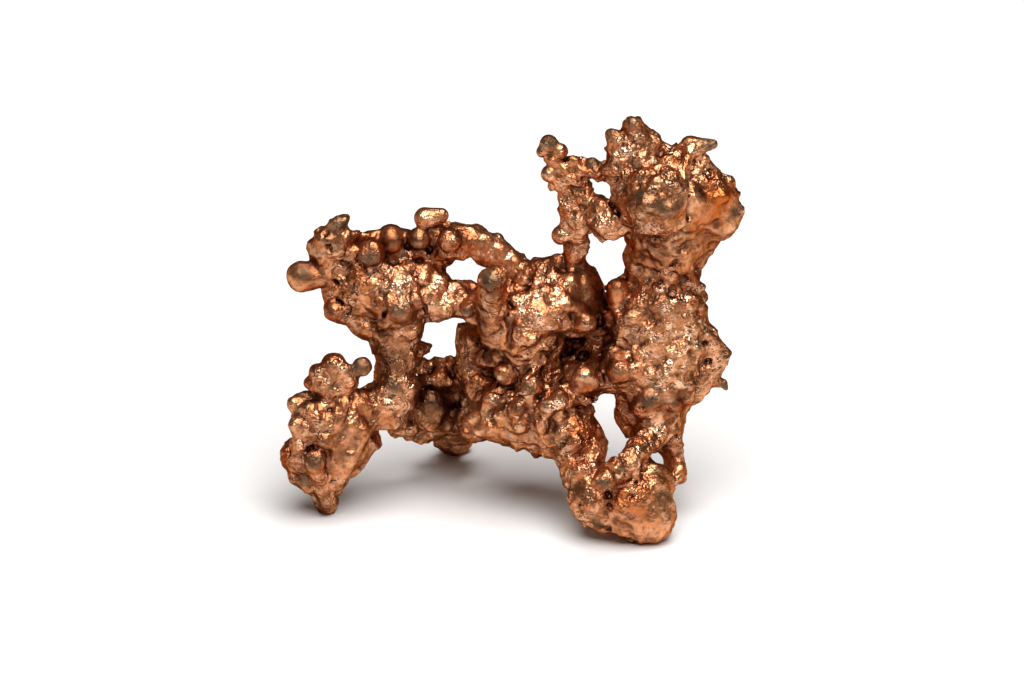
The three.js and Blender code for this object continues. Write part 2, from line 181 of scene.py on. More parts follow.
TWIG = [
    [SOFT, [[6.5, 27.8, 11, 1.2], [6.7, 29.4, 11, 1.25], [6.6, 31.6, 11, 1.35]]],
    [
        SOFT,
        [[6.6, 31.6, 11, 1.35], [6.3, 34.2, 11.3, 1.6], [6.4, 36.6, 11.4, 1.4], [6.3, 37.9, 11.4, 1.15]],
    ],
    [SOFT, [[5.7, 35.5, 11, 1]]],
    [SOFT, [[7.6, 35.6, 11.3, 0.9]]],
    [SOFT, [[4.6, 28.2, 11, 0.9]]],
    [SOFT, [[4.4, 36.1, 11, 0.6]]],
    [SOFT, [[4.3, 38.5, 11.4, 0.85], [5.2, 37.6, 11.4, 0.8]]],
    [BEAD, [[3.9, 40, 11.5, 0.95]]],
    [BEAD, [[3.2, 39.3, 11.3, 0.65]]],
    [BEAD, [[5, 39.3, 11.2, 0.8]]],
    [BEAD, [[4, 37.1, 11, 0.95]]],
    [SOFT, [[7.2, 37.3, 11, 0.8]]],
    [BEAD, [[8.2, 38, 11, 0.75]]],
    [BEAD, [[5.1, 31, 10.6, 1]]],
    [SOFT, [[8, 37.4, 11, 0.9], [10.4, 37, 10.5, 1]]],
    [SOFT, [[7, 32.6, 11, 1.3], [9.6, 32.6, 10.2, 1.4]]],
]

HIPS = [
    [FLOWING, [[2.3, 13.6, 8, 3.8]]],
    [FLOWING, [[-0.5, 13.2, 8.5, 3.1]]],
    [FLOWING, [[3, 11.2, 7.2, 2.3]]],
    [SOFT, [[6.3, 13.6, 7.2, 1.7], [7, 11, 6, 1.9]]],
    [SOFT, [[7.4, 16.2, 5.8, 1.45]]],
    [SOFT, [[8.2, 15.8, 6.4, 1.1], [10.2, 16.6, 7, 1.2]]],
    [SOFT, [[7.4, 14.8, 6.2, 1.2]]],
    [SOFT, [[0.8, 13.8, 4.9, 1.25]]],
    [SOFT, [[3.7, 13.8, 4.3, 1.25]]],
    [SOFT, [[2.1, 15.7, 5, 1.25]]],
    [SOFT, [[5.2, 14.7, 4.8, 1.4]]],
    [SOFT, [[3.4, 12.6, 5, 1.2]]],
    [BEAD, [[-0.2, 17, 7.5, 1.1]]],
    [FLOWING, [[8.5, 20, 13, 2.5]]],
    [FLOWING, [[9, 23, 13, 2.3]]],
    [FLOWING, [[5.4, 18.6, 12.5, 2.4]]],
    [FLOWING, [[-2.4, 19.2, 12, 2]]],
]

LEFT_CLUSTER = [
    [FLOWING, [[-13.5, 26, 11, 3.7], [-9.6, 25.6, 11, 3.3]]],
    [SOFT, [[-17, 23.5, 10.5, 1.6]]],
    [SOFT, [[-13.6, 21.6, 10, 1.4]]],
    [SOFT, [[-17.6, 25.5, 10.8, 1.3]]],
    [SOFT, [[-14.9, 22.3, 10, 1.5]]],
    [SOFT, [[-11, 22.4, 10, 2]]],
    [SOFT, [[-11.4, 24, 8.2, 2.1]]],
    [SOFT, [[-13.8, 29.2, 9, 1.4]]],
    [BEAD, [[-11.3, 29.5, 9, 0.6]]],
    [SOFT, [[-14.4, 30, 11.5, 1.2]]],
    [SOFT, [[-16, 29.4, 11, 1.2]]],
    [SOFT, [[-17.7, 30.5, 11, 1.9], [-16.8, 32.3, 11, 1]]],
    [SOFT, [[-18.6, 30.4, 11, 0.9], [-19.9, 30, 11, 0.35]]],
    [SOFT, [[-18.3, 28.8, 11, 1.6], [-17.2, 27.4, 11.2, 1.4]]],
    [BEAD, [[-18.4, 27, 11, 1.2], [-20.8, 26.85, 10.8, 1.6]]],
    [BEAD, [[-11.9, 30.6, 11.5, 1.5]]],
    [BEAD, [[-9.1, 30.6, 11, 1.2]]],
    [BEAD, [[-6, 30.4, 10.2, 1.2]]],
    [BEAD, [[-8.5, 32.7, 11.5, 1.1], [-6.9, 32.9, 11.5, 0.8]]],
    [SOFT, [[-10.4, 31, 11.8, 0.8]]],
    [SOFT, [[-13.6, 30.9, 11.6, 0.8]]],
    [SOFT, [[-15.5, 31.1, 11, 0.7]]],
    [SOFT, [[-7.8, 31.4, 11.8, 0.9]]],
    [SOFT, [[-8.6, 19.7, 12, 0.9]]],
    [SOFT, [[-10.4, 29.2, 12, 1.4], [-7.8, 29.2, 12.4, 1.4], [-6.8, 29.2, 12.4, 1.2]]],
]

LEFT_LEG = [
    [FLOWING, [[-11.2, 21, 10.5, 2.3], [-11.3, 18, 10, 2.1], [-11.6, 15, 9.5, 2.4], [-11.6, 13.2, 9, 1.8]]],
    [FLOWING, [[-13.6, 13.8, 8.8, 1.8], [-16, 13.2, 8, 2.5]]],
    [FLOWING, [[-18.6, 12.6, 7.6, 3.2], [-17, 10.4, 7.6, 3.1]]],
    [SOFT, [[-21.3, 14.2, 7.5, 0.95]]],
    [SOFT, [[-21.2, 9.2, 7.2, 1.9]]],
    [SOFT, [[-20.8, 7.2, 7.4, 1.6]]],
    [FLOWING, [[-18.4, 7.4, 7.6, 2.4], [-18.5, 4.3, 7.6, 1.15], [-18.4, 3.6, 7.6, 0.95]]],
    [SOFT, [[-14.4, 10, 8, 1.5]]],
    [SOFT, [[-16, 8.7, 8, 1.6]]],
    [BEAD, [[-17.6, 18, 7.5, 1.3]]],
    [BEAD, [[-19.2, 17.2, 7.5, 0.95]]],
    [BEAD, [[-19.9, 16.2, 7.5, 0.75]]],
    [BEAD, [[-16.4, 17.2, 7, 1]]],
    [BEAD, [[-14.8, 17.85, 7.2, 1]]],
    [SOFT, [[-16, 16.3, 7.4, 1]]],
    [SOFT, [[-15, 14.4, 8, 1.3]]],
    [SOFT, [[-18, 15.8, 7.5, 1.7]]],
    [BEAD, [[-19.3, 8.8, 4.6, 0.95]]],
    [SOFT, [[-20.9, 11.6, 5.8, 1.1], [-20.8, 8, 6.2, 1]]],
]

BACK_FOOT = [
    [SOFT, [[-8.2, 13.9, 13, 2.4]]],
    [SOFT, [[-10.6, 15.8, 11.8, 0.8], [-8.6, 16.4, 11.8, 0.8], [-6.4, 16.6, 11.8, 0.8]]],
    [SOFT, [[-9, 17.8, 13, 0.9], [-6, 17.8, 13, 1]]],
    [SOFT, [[-3, 16, 12, 1.8]]],
    [SOFT, [[-5.4, 15.2, 14, 1.5]]],
    [SOFT, [[-4, 12.8, 13, 1.8]]],
    [SOFT, [[-3.4, 11.5, 12.5, 1.5]]],
    [SOFT, [[-11, 11.9, 14, 1.4], [-8.4, 11.5, 15, 1.4]]],
    [SOFT, [[-6.6, 13, 15.5, 2.3], [-5, 12.4, 17.4, 2.2], [-6.1, 11, 19.6, 1.8], [-5.3, 10.2, 22, 1.5]]],
    [SOFT, [[-3.9, 12.8, 19, 1.2]]],
    [SOFT, [[-7.6, 12.6, 18.6, 1.1]]],
    [SOFT, [[-4, 18, 12.5, 1.8], [-2, 15, 11, 2.2]]],
    [SOFT, [[-4, 21, 12.5, 1.5], [-3.9, 18, 12.5, 1.7]]],
]

# The far side, which the photo doesn't show: lumps of the same kind on the backs of the masses
FAR_SIDE = [
    [FLOWING, [[1.5, 23.5, 13.4, 2.6], [5, 25, 14, 2.2]]],
    [SOFT, [[4.2, 21.5, 15.2, 1.4]]],
    [FLOWING, [[14.6, 22.5, 14, 3], [15.6, 18.6, 13.2, 2.6]]],
    [SOFT, [[17, 21, 15.4, 1.5]]],
    [FLOWING, [[15.6, 35, 13.6, 2.8]]],
    [SOFT, [[12.6, 34, 14.6, 1.4]]],
    [FLOWING, [[-12, 26, 14, 2.4]]],
    [SOFT, [[-14.8, 27, 15, 1.4]]],
    [SOFT, [[-8.6, 27.2, 14.4, 1.3]]],
    [FLOWING, [[-17.4, 13, 11, 2.2]]],
    [SOFT, [[1.8, 13.8, 12.4, 2.4]]],
    [SOFT, [[3.6, 12.8, 13.8, 1.2]]],
]

# Hollows and cracks that run into the metal
DENTS = [
    [BEAD, [[-5.6, 15.6, 10.4, 0.5], [-5.6, 12, 10.8, 0.5]]],
    [BEAD, [[19.2, 35.4, 6.4, 0.5]]],
]

FRONT = TORSO + HIPS + COLUMN + HEAD + FRONT_FOOT + TWIG + LEFT_CLUSTER + LEFT_LEG + BACK_FOOT
MASSES = FRONT + FAR_SIDE

# Small knobs on the side that the photo shows: [across, up, radius] on the drawing
KNOBS = [
    # head, on the crown and about the boss
    [12.2, 42.1, 0.7], [10.3, 40.1, 0.7], [9.6, 37.5, 0.6], [11.3, 38.2, 0.6], [13.1, 40.8, 0.6],
    [13.7, 39.9, 0.5], [12, 39.5, 0.6], [13.3, 38.8, 0.5], [14.2, 38.4, 0.5], [15.8, 38.2, 0.8],
    [16.1, 36.8, 0.45], [13, 37.1, 0.4], [14.6, 36.3, 0.7], [18, 39.3, 0.7], [17.3, 38, 0.6],
    [21.7, 36.2, 0.8], [21.2, 34.8, 0.7], [18.8, 34.2, 0.5], [13.5, 34, 0.9], [15.8, 33.5, 0.9],
    [18, 31.9, 0.7], [13, 31.7, 0.8], [20.5, 31.7, 0.6],
    # neck and column
    [10.7, 25.6, 1], [13.8, 28.3, 0.6], [17, 27.7, 0.7], [19.1, 25.8, 0.5], [19.4, 24.7, 0.45],
    [19.9, 22.5, 0.4], [18, 24.5, 0.7], [15.8, 22.3, 0.8], [17.4, 20, 0.6], [19, 19.5, 0.6],
    [16.2, 19.3, 0.6], [14.5, 20, 0.6], [15, 18.3, 0.6], [18, 18, 0.6], [11, 20.4, 0.45],
    [11.8, 19.8, 0.45], [13.5, 21.5, 0.6], [11, 17.4, 1.3], [15.6, 16.8, 0.7], [15.6, 15.4, 0.6],
    [13, 13.6, 0.8], [14, 14.8, 0.65], [18, 16, 0.7], [16.5, 14, 0.7], [14.5, 12.5, 0.6],
    [12.6, 15.9, 0.6], [12, 22.7, 0.7], [13, 24.3, 0.6], [13.8, 14.6, 1.2], [10.2, 19.3, 0.9],
    [19, 17.3, 0.8], [20.2, 20, 0.7],
    # torso
    [1.4, 26.6, 0.8], [3.5, 25.7, 0.45], [4.2, 24.4, 0.45], [7.6, 22.3, 1], [2.4, 24.9, 0.6],
    [0.5, 24.5, 0.6], [5.6, 24, 0.7], [3, 23, 0.7], [1, 22.3, 0.7], [4.5, 22, 0.6], [-0.3, 20.7, 0.7],
    [2, 20.5, 0.6], [-0.8, 23.3, 0.6], [6, 26.3, 0.9],
    # hips
    [-0.8, 17.3, 0.9], [4.7, 17.2, 0.7], [2.2, 15.8, 0.7], [0.8, 13.7, 0.7], [3.6, 13.9, 0.65],
    [-0.1, 14.9, 0.6], [2, 14.7, 0.6], [3.5, 15.7, 0.5], [4.8, 15, 0.6], [3.2, 12, 0.7], [1, 12, 0.8],
    [5, 13, 0.7], [-1, 13, 0.7], [-2, 14.7, 0.8], [-3.2, 16.5, 0.7], [7.5, 16.9, 1.2], [6.5, 14.7, 0.7],
    [7.8, 13.5, 0.6], [-1.3, 19, 0.6], [0.5, 19.5, 0.6],
    # front foot
    [6.5, 10.5, 0.7], [8, 9.3, 0.6], [6, 8.5, 0.6], [7.3, 7.5, 0.7], [9, 4.5, 0.6], [10.2, 3.3, 0.6],
    [8, 4, 0.5], [11.2, 1.5, 0.6], [9.5, 2.5, 0.6], [9.3, 6.2, 0.5],
    # left cluster
    [-17.2, 32.1, 0.7], [-18.4, 30.5, 0.8], [-16.5, 30.9, 0.7], [-19.8, 30.2, 0.4], [-17, 29.5, 0.6],
    [-15, 26.5, 0.7], [-11.2, 25.7, 1.4], [-10.7, 23.6, 1.2], [-9.2, 24.5, 0.7], [-10, 21.7, 1.1],
    [-14.2, 21.7, 1], [-12.5, 22.3, 0.7], [-6.4, 23.7, 1.1], [-15.2, 23.4, 0.6], [-17.6, 23.4, 1],
    [-15.8, 22.7, 0.7], [-17.2, 25.5, 0.6], [-16, 27.3, 0.5], [-14.4, 25, 0.7], [-8.5, 27.5, 0.8],
    [-10, 27.7, 0.7], [-7, 26.3, 0.7], [-5.5, 26, 0.6], [-7.8, 25, 0.6],
    # left leg and foot
    [-17.7, 18.1, 0.8], [-16.6, 17.5, 0.7], [-18.8, 17.4, 0.65], [-19.2, 16.6, 0.6],
    [-19.5, 15.7, 0.55], [-16, 16.3, 0.6], [-18.8, 15.7, 0.7], [-17.5, 17.1, 0.6], [-17, 15.9, 0.6],
    [-18, 15, 0.6], [-21, 8.8, 0.5], [-21, 7.7, 0.5], [-21.5, 6.7, 0.45], [-20.3, 5.5, 0.45],
    [-19.5, 7.5, 0.5], [-20, 13.5, 0.8], [-16.5, 14, 0.8], [-20.5, 11.5, 0.8], [-22.3, 10.5, 0.6],
    [-14.8, 11.5, 0.7], [-16, 9, 0.7], [-17.5, 6, 0.6], [-18.5, 10.5, 0.8], [-12.5, 19.5, 0.7],
    [-11, 18, 0.7], [-11.8, 16, 0.7], [-13.5, 15, 0.6], [-21.8, 14.3, 0.5], [-22.2, 13.3, 0.5],
    [-21.4, 12, 0.8], [-17.2, 16.9, 0.5], [-18.2, 17.7, 0.5], [-17, 18.1, 0.5], [-18.4, 16.4, 0.5],
    [-17.4, 15.4, 0.5], [-16.3, 15.4, 0.5],
    # back foot
    [-8, 14.4, 1.4], [-10, 11.7, 0.9], [-8.5, 11, 0.7], [-4.3, 11.2, 0.6], [-3.7, 12.7, 0.7],
    [-5.3, 9.8, 0.8], [-4.8, 14.5, 0.6], [-4, 15.7, 0.7], [-7, 17.3, 0.6], [-8.5, 17.3, 0.5],
    [-4.8, 17.7, 0.6], [-3, 11.5, 0.7],
    # beam and beads
    [-4, 31.3, 0.6], [-2.5, 30.5, 0.6], [-1, 29.5, 0.6], [0.5, 28.3, 0.6], [-4.8, 29.9, 0.5],
    [3.8, 28.3, 0.5], [2.5, 27.7, 0.5],
]

# Small pits on the same side: [across, up, radius]
PITS = [
    [14.8, 37.4, 0.45], [19.3, 35.6, 0.4], [12.9, 35.9, 0.3], [6.8, 34.3, 0.18], [-16.9, 25.1, 0.32],
    [-15.6, 24.4, 0.3], [-8.6, 25.8, 0.26], [13.1, 13.7, 0.3], [10, 4, 0.3], [7.3, 18.9, 0.6],
    [6, 19.5, 0.5], [2.8, 12.9, 0.3], [-5.8, 17, 0.4], [-1, 16.1, 0.35], [1.5, 17.3, 0.3],
    [12.1, 18.5, 0.3], [19.9, 18.4, 0.3], [10.2, 34, 0.4], [9, 21.5, 0.4], [-16.5, 20, 0.4],
    [-13.8, 20.5, 0.4], [10, 14.7, 0.3], [-18, 13.5, 0.3], [-15.8, 14.9, 0.3], [-19.2, 9.7, 0.2],
    [-6.5, 28.3, 0.3], [-10.2, 29.8, 0.4], [-8, 29.5, 0.4],
]

# Grooves cut along the same side: [radius, [across, up] for each point along it]
GROOVES = [
    [0.25, [[19, 21.1], [19.4, 19.5], [19.1, 17.3], [18.7, 15.3]]],
    [0.3, [[17.8, 37.5], [18, 34.5], [17.4, 31.7], [15.8, 30.5]]],
    [0.3, [[13.5, 23.7], [14, 22.9], [14.5, 22.3]]],
    [0.25, [[11.2, 16], [12, 16.2], [13, 15.7]]],
    [0.25, [[-15.8, 14.5], [-16.5, 12], [-17.5, 10]]],
    [0.25, [[-13, 25.5], [-12.4, 23.5], [-13, 21.5]]],
    [0.25, [[-9, 26.3], [-8.6, 24.5], [-8.2, 22.5]]],
    [0.25, [[-0.5, 24.5], [0.2, 22.3], [-0.2, 20]]],
    [0.3, [[-5.5, 16], [-5.3, 14], [-5.5, 11.5]]],
    [0.25, [[-19.2, 32.3], [-18.4, 31.3], [-18, 29.5]]],
]

# Crests and edges on the same side: [radius, [across, up] for each point along it]
RIDGES = [
    [0.5, [[13, 23.7], [14.5, 24], [16.2, 22.9], [17.8, 22.7]]],
    [0.6, [[5.6, 32.1], [7.5, 33], [9.2, 34]]],
    [0.5, [[-13.3, 12.8], [-14.8, 10.5], [-16, 8], [-17.2, 6]]],
    [0.4, [[-9.8, 15.5], [-8.5, 16.5], [-6.8, 16.7]]],
    [0.4, [[9, 18.3], [10.2, 19.1], [11.8, 18.7], [12.6, 17.7]]],
    [0.3, [[14.7, 17.1], [15.2, 17.8], [16.2, 17.7]]],
    [0.45, [[2.3, 23.5], [4, 23.3], [5.8, 24.1], [7, 23.7]]],
    [0.4, [[-0.5, 22.7], [1, 23.3], [2.6, 22.3]]],
    [0.4, [[13, 19.3], [15, 20.7], [17.5, 21.5], [19.5, 21]]],
    [0.4, [[14.5, 17], [17, 18.7], [19.8, 19.7]]],
    [0.4, [[13, 33], [14.5, 31.7], [16.5, 30.9], [18, 30.9]]],
    [0.5, [[18, 39.5], [17.4, 37], [17.8, 34.5]]],
    [0.4, [[13, 30], [12.4, 28.3], [12.2, 26.5]]],
    [0.4, [[18, 30], [17.5, 28.3], [18.2, 26.3]]],
    [0.4, [[-12.7, 24.8], [-11, 24.5], [-9, 24.9]]],
    [0.9, [[-19.6, 8.3], [-18.8, 6.1], [-18.3, 4.3]]],
    [0.6, [[-21.3, 12], [-21, 10], [-21.2, 8]]],
    [0.4, [[19.4, 21.4], [20.4, 20], [20.2, 18.3], [19.6, 15.7]]],
    [0.7, [[9.6, 17.9], [10.6, 18.7], [12, 18.3]]],
    [0.4, [[-12.8, 27.5], [-11.5, 26.8], [-10, 26.5]]],
    [0.4, [[-19, 30.7], [-17.8, 31.7], [-16.7, 32.3]]],
    [0.4, [[-19.2, 29.5], [-18, 30.2], [-16.5, 30.5]]],
]

# Dirt and painted shade in hollows and on dark faces: [across, up, radius, strength]
DARK = [
    [9.3, 18.1, 1.4, 0.5], [5.6, 17.3, 0.9, 0.4], [-7, 12.7, 1.8, 0.5], [-8, 14.2, 3.1, 0.9],
    [-5.5, 14, 2.3, 0.85], [8, 25.5, 2, 0.35], [7.2, 19, 2.6, 0.5], [5, 19.5, 1.4, 0.35],
    [-1.3, 26, 1.3, 0.35], [-1.7, 23.9, 1.2, 0.3], [-16.9, 8.6, 0.9, 0.7], [-12, 17.7, 2.4, 0.65],
    [15, 35, 2.6, 0.35], [14, 28.3, 1.6, 0.25], [-21, 27.3, 1.2, 0.2], [-11.8, 30.7, 1.2, 0.3],
    [-9, 30.5, 1, 0.3], [-3.2, 19.5, 1.8, 0.35], [-4, 19.5, 1.6, 0.4], [-10.2, 29.5, 1.4, 0.7],
    [-7.8, 29.5, 1, 0.8], [-1.3, 16, 1, 0.5], [0.7, 13.6, 0.9, 0.35], [-19.8, 11.3, 2.2, 0.2],
    [-13, 22.7, 2.2, 0.2], [-3, 21.5, 1, 0.5], [9, 21.5, 1, 0.6], [14.7, 37.3, 0.8, 0.6],
    [19.3, 35.6, 0.7, 0.7], [14, 22.9, 1.2, 0.5], [-16.5, 20, 1.2, 0.4], [-11.9, 30.8, 1.2, 0.6],
    [-11.5, 19.5, 1.4, 0.35], [-18, 31, 1.4, 0.45], [13.9, 14.7, 0.7, 0.6],
]

# Places painted brighter, as painted highlights: [across, up, radius]
BRIGHT = [
    [-11.2, 25.9, 1.8], [-6, 26, 1.4], [3, 24.5, 2.6], [18, 20, 2.6], [15, 19.5, 2], [-0.5, 28.3, 2.2],
    [16.5, 22.7, 2.2], [15.8, 16, 1.8], [12.8, 20, 1.2], [14, 12, 1], [2, 14.5, 1.8], [-0.5, 16, 1.2],
    [4.5, 13, 1.4], [-2, 13.5, 1.2], [5, 17, 0.8], [7.6, 17.1, 0.8], [11, 18.3, 1.2], [12.5, 9, 1.4],
    [11, 8, 1], [-21, 9.5, 1.2], [-18.5, 15.7, 1], [-16.5, 16.4, 0.8], [11.5, 38.5, 1.2],
    [11.8, 42.3, 0.8], [15, 36.4, 0.8], [1, 15, 1.2], [4, 14.5, 1], [-7.5, 32.8, 0.8], [-6, 31, 0.8],
    [4.5, 37, 0.8], [6.5, 32.3, 1.2], [18, 40.5, 0.8],
]

# Places where the metal is red or orange, partly its own tone and partly a painted warm reflection in
# crevices and concave places: [across, up, radius, strength]
RUDDY = [
    [21.2, 34.1, 2.4, 0.9], [19.4, 32.1, 1.4, 0.6], [18.2, 38.2, 1.2, 0.75], [13, 4.5, 2.6, 0.5],
    [7.8, 10.9, 1.6, 0.55], [11.5, 16.1, 0.6, 0.8], [6.2, 10.3, 0.9, 0.5], [3.5, 17.3, 0.9, 0.5],
    [3.8, 24.5, 1, 0.4], [-11.5, 17, 1.6, 0.3], [8.2, 15.3, 1, 0.5], [0.4, 26, 0.7, 0.4],
    [9, 12.5, 1.2, 0.4], [13, 15.5, 0.7, 0.5], [18, 29.5, 1, 0.3],
]

# Smooth places, where the grains are faint: [across, up, radius, share of the grain that stays]
SMOOTH = [
    [-20.9, 26.8, 2, 0.25], [-11.9, 30.7, 1.8, 0.3], [-9.1, 30.6, 1.4, 0.4], [8.3, 25, 2.6, 0.3],
    [20.6, 33, 3.4, 0.35], [14.8, 2.8, 3.2, 0.4], [14.6, 33.2, 3.2, 0.75], [-14.8, 17.9, 1.1, 0.3],
    [-1.8, 26.4, 1.9, 0.5], [-7.6, 14, 2.4, 0.5], [-17, 9.4, 3.2, 0.45], [-13, 11.8, 1.6, 0.5],
]

# Places that are grained all over: [across, up, radius]
GRAINY = [
    [16.2, 20.3, 5.6], [3, 25.4, 3.6], [-11.2, 25.9, 3], [-6, 25.8, 2], [1, 14.6, 4], [6.4, 34.5, 3.4],
    [12.2, 40.4, 2.6], [-17.8, 16.6, 2.4], [-21, 9.5, 1.6], [11.5, 7.6, 2.6],
]

# Olive tarnish on ends that face the viewer: [across, up, radius]
TARNISH = [
    [-1.8, 26.9, 1], [-4.4, 23.4, 0.7], [-19.3, 8.6, 1], [9.1, 5.9, 0.9], [13.8, 14.4, 0.9],
    [-13.9, 28.6, 1], [2.1, 15.8, 0.7], [0.8, 13.7, 0.6], [3.6, 13.8, 0.55], [22.9, 33.4, 0.8],
    [-14.8, 17.8, 1.1], [3.6, 39.8, 1], [8.2, 38, 0.7], [14.2, 38.4, 0.5], [12.9, 37, 0.5],
    [12.7, 35.3, 0.6], [15.4, 34.4, 0.8], [17, 33.4, 0.7], [16, 32.4, 0.6], [-17.4, 31.8, 1.2],
    [-20.4, 27.6, 0.9], [-11.2, 23.6, 1], [-10, 24.6, 0.8], [12.3, 42.4, 0.6], [9.8, 41.2, 0.6],
    [19.8, 40, 0.8], [-20.6, 6, 0.8], [8.4, 1.8, 0.8], [21.6, 16.2, 0.7], [10.9, 17, 0.6],
    [-11.5, 16.4, 0.7],
]

def place(point):
    """A point of the drawing as X, Y and Z in drawing units."""
    across, up, back = point[:3]
    return np.array([across, back, (up - back * math.sin(LEAN)) / math.cos(LEAN)])


def picture_up(points):
    """How far up the drawing each point shows."""
    return points[:, 2] * math.cos(LEAN) + points[:, 1] * math.sin(LEAN)


def shown_from(points, across, up):
    """How far from a place of the drawing each point shows."""
    return np.hypot(points[:, 0] - across, picture_up(points) - up)


def strand_distance(points, places, radii):
    """Distance to a strand, each stretch between two points being a tapering capsule."""
    if len(places) == 1:
        return np.linalg.norm(points - places[0], axis=-1) - radii[0]
    nearest = None
    for start, end, thick, thin in zip(places, places[1:], radii, radii[1:]):
        span = end - start
        offset = points - start
        along = np.clip(offset @ span / (span @ span), 0, 1)
        radius = thick + (thin - thick) * along
        gap = np.linalg.norm(offset - along[..., None] * span, axis=-1) - radius
        nearest = gap if nearest is None else np.minimum(nearest, gap)
    return nearest


def flow_together(a, b, softness):
    """Joins two distances so that the surfaces run together over a length of about softness."""
    mix = np.maximum(softness - np.abs(a - b), 0) / softness
    return np.minimum(a, b) - mix * mix * softness / 4


def grid_axes(masses):
    """The grid lines along X, Y and Z that hold every lump with room to spare."""
    ends = [(place(p) - p[3], place(p) + p[3]) for _, strand in masses for p in strand]
    low = np.floor(np.min([e[0] for e in ends], axis=0)) - ROOM
    high = np.ceil(np.max([e[1] for e in ends], axis=0)) + ROOM
    low[2] = -ROOM
    return [np.arange(low[k], high[k], CELL, dtype=np.float32) for k in range(3)]


def box_of(axes, low, high):
    """The stretch of each grid axis between two corners."""
    return tuple(
        slice(np.searchsorted(axis, start), np.searchsorted(axis, end))
        for axis, start, end in zip(axes, low, high)
    )


def points_of(axes, box):
    """The grid points in a box, in drawing units."""
    return np.stack(np.meshgrid(*[a[s] for a, s in zip(axes, box)], indexing="ij"), axis=-1)


def places_and_radii(strand):
    """The points of a strand, each as its place in space, and their radii."""
    return np.array([place(p) for p in strand]), np.array([p[3] for p in strand])


def add_lumps(field, axes, masses):
    """Runs lumps into the field, which is positive in the metal and about equal to the depth there."""
    for softness, strand in masses:
        places, radii = places_and_radii(strand)
        reach = radii[:, None] + MARGIN
        box = box_of(axes, (places - reach).min(axis=0), (places + reach).max(axis=0))
        local = strand_distance(points_of(axes, box), places, radii)
        field[box] = -flow_together(-field[box], local, softness)


def cut_dents(field, axes, dents):
    """Takes hollows out of the field."""
    for softness, strand in dents:
        places, radii = places_and_radii(strand)
        box = box_of(axes, places.min(axis=0) - DENT_MARGIN, places.max(axis=0) + DENT_MARGIN)
        local = strand_distance(points_of(axes, box), places, radii)
        field[box] = flow_together(field[box], local, softness)


def sampled(grid, axes, points):
    """Grid values at points in drawing units, blended between the eight nearest."""
    place_in_grid = (points - np.array([a[0] for a in axes])) / CELL
    whole = np.clip(np.floor(place_in_grid).astype(int), 0, np.array(grid.shape) - 2)
    part = np.clip(place_in_grid - whole, 0, 1)
    total = np.zeros(len(points))
    for corner in np.ndindex(2, 2, 2):
        index = whole + corner
        weight = np.prod(np.where(corner, part, 1 - part), axis=1)
        total += weight * grid[index[:, 0], index[:, 1], index[:, 2]]
    return total


def front_of(field, axes, across, up):
    """How far back the metal begins at this place of the drawing, or None where there is no metal."""
    backs = np.arange(FIRST_BACK, LAST_BACK, BACK_STEP)
    values = sampled(field, axes, np.array([place([across, up, back]) for back in backs]))
    return backs[(values > 0).argmax()] if values.max() > 0 else None


def on_front(field, axes, spots, radius, sunk):
    """Places of the drawing as strand points on the front of the metal, sunk by a share of radius."""
    backs = [front_of(field, axes, across, up) for across, up in spots]
    return [
        [across, up, back + sunk * radius, radius]
        for (across, up), back in zip(spots, backs)
        if back is not None
    ]


def add_details(field, axes):
    """Knobs and crests laid on the front, and pits and grooves cut into it."""
    knobs = [on_front(field, axes, [[across, up]], radius, KNOB_SUNK) for across, up, radius in KNOBS]
    crests = [on_front(field, axes, spots, radius, CREST_SUNK) for radius, spots in RIDGES]
    add_lumps(field, axes, [[KNOB, strand] for strand in knobs + crests if strand])
    pits = [on_front(field, axes, [[across, up]], radius, PIT_SUNK) for across, up, radius in PITS]
    grooves = [on_front(field, axes, spots, radius, GROOVE_SUNK) for radius, spots in GROOVES]
    cut_dents(field, axes, [[BEAD, strand] for strand in pits + grooves if strand])


def waves(points):
    """The rolling lumps that the solid has too, from waves that cross in three directions."""
    x, y, z = points.T
    x, y, z = (
        x + 0.7 * np.sin(0.9 * y + 0.4 * z),
        y + 0.7 * np.sin(0.8 * z + 0.5 * x),
        z + 0.7 * np.sin(0.7 * x + 0.6 * y),
    )

    def crossing(k):
        return (
            np.sin(k * x) * np.cos(k * y)
            + np.sin(k * y) * np.cos(k * z)
            + np.sin(k * z) * np.cos(k * x)
        )

    return 0.1 * crossing(2.1) + 0.07 * crossing(3.4)


def cloud(points, spacing, seed):
    """Smooth random values between -1 and 1 that change over about one spacing."""
    table = np.random.default_rng(seed).uniform(-1, 1, (TABLE, TABLE, TABLE)).astype(np.float32)
    whole = np.floor(points / spacing).astype(np.int32)
    part = (points / spacing - whole).astype(np.float32)
    part = part * part * (3 - 2 * part)
    total = np.zeros(len(points), np.float32)
    for corner in np.ndindex(2, 2, 2):
        weight = np.prod(np.where(corner, part, 1 - part), axis=1)
        index = (whole + corner) % TABLE
        total += weight * table[index[:, 0], index[:, 1], index[:, 2]]
    return total


def grains(points, spacing, seed):
    """Round grains: 1 at the middle of each and falling to 0 about one spacing away."""
    jitter = np.random.default_rng(seed).uniform(0, 1, (TABLE, TABLE, TABLE, 3)).astype(np.float32)
    scaled = (points / spacing).astype(np.float32)
    whole = np.floor(scaled).astype(np.int32)
    nearest = np.full(len(points), np.inf, np.float32)
    for step in np.ndindex(3, 3, 3):
        cell = whole + np.array(step) - 1
        index = cell % TABLE
        offset = cell + jitter[index[:, 0], index[:, 1], index[:, 2]] - scaled
        nearest = np.minimum(nearest, np.einsum("ij,ij->i", offset, offset))
    return 1 - np.minimum(nearest, 1)


def raised_grains(points, height, spacing, seed):
    """Round grains of this height that leave the metal about as thick as it was."""
    return height * (grains(points, spacing, seed) - GRAIN_LEVEL)


def net_of_crests(points, height, level, spacing, seed):
    """Crests that join into a net, where a cloud passes through zero."""
    return height * (level - np.abs(cloud(points, spacing, seed)) * 2)


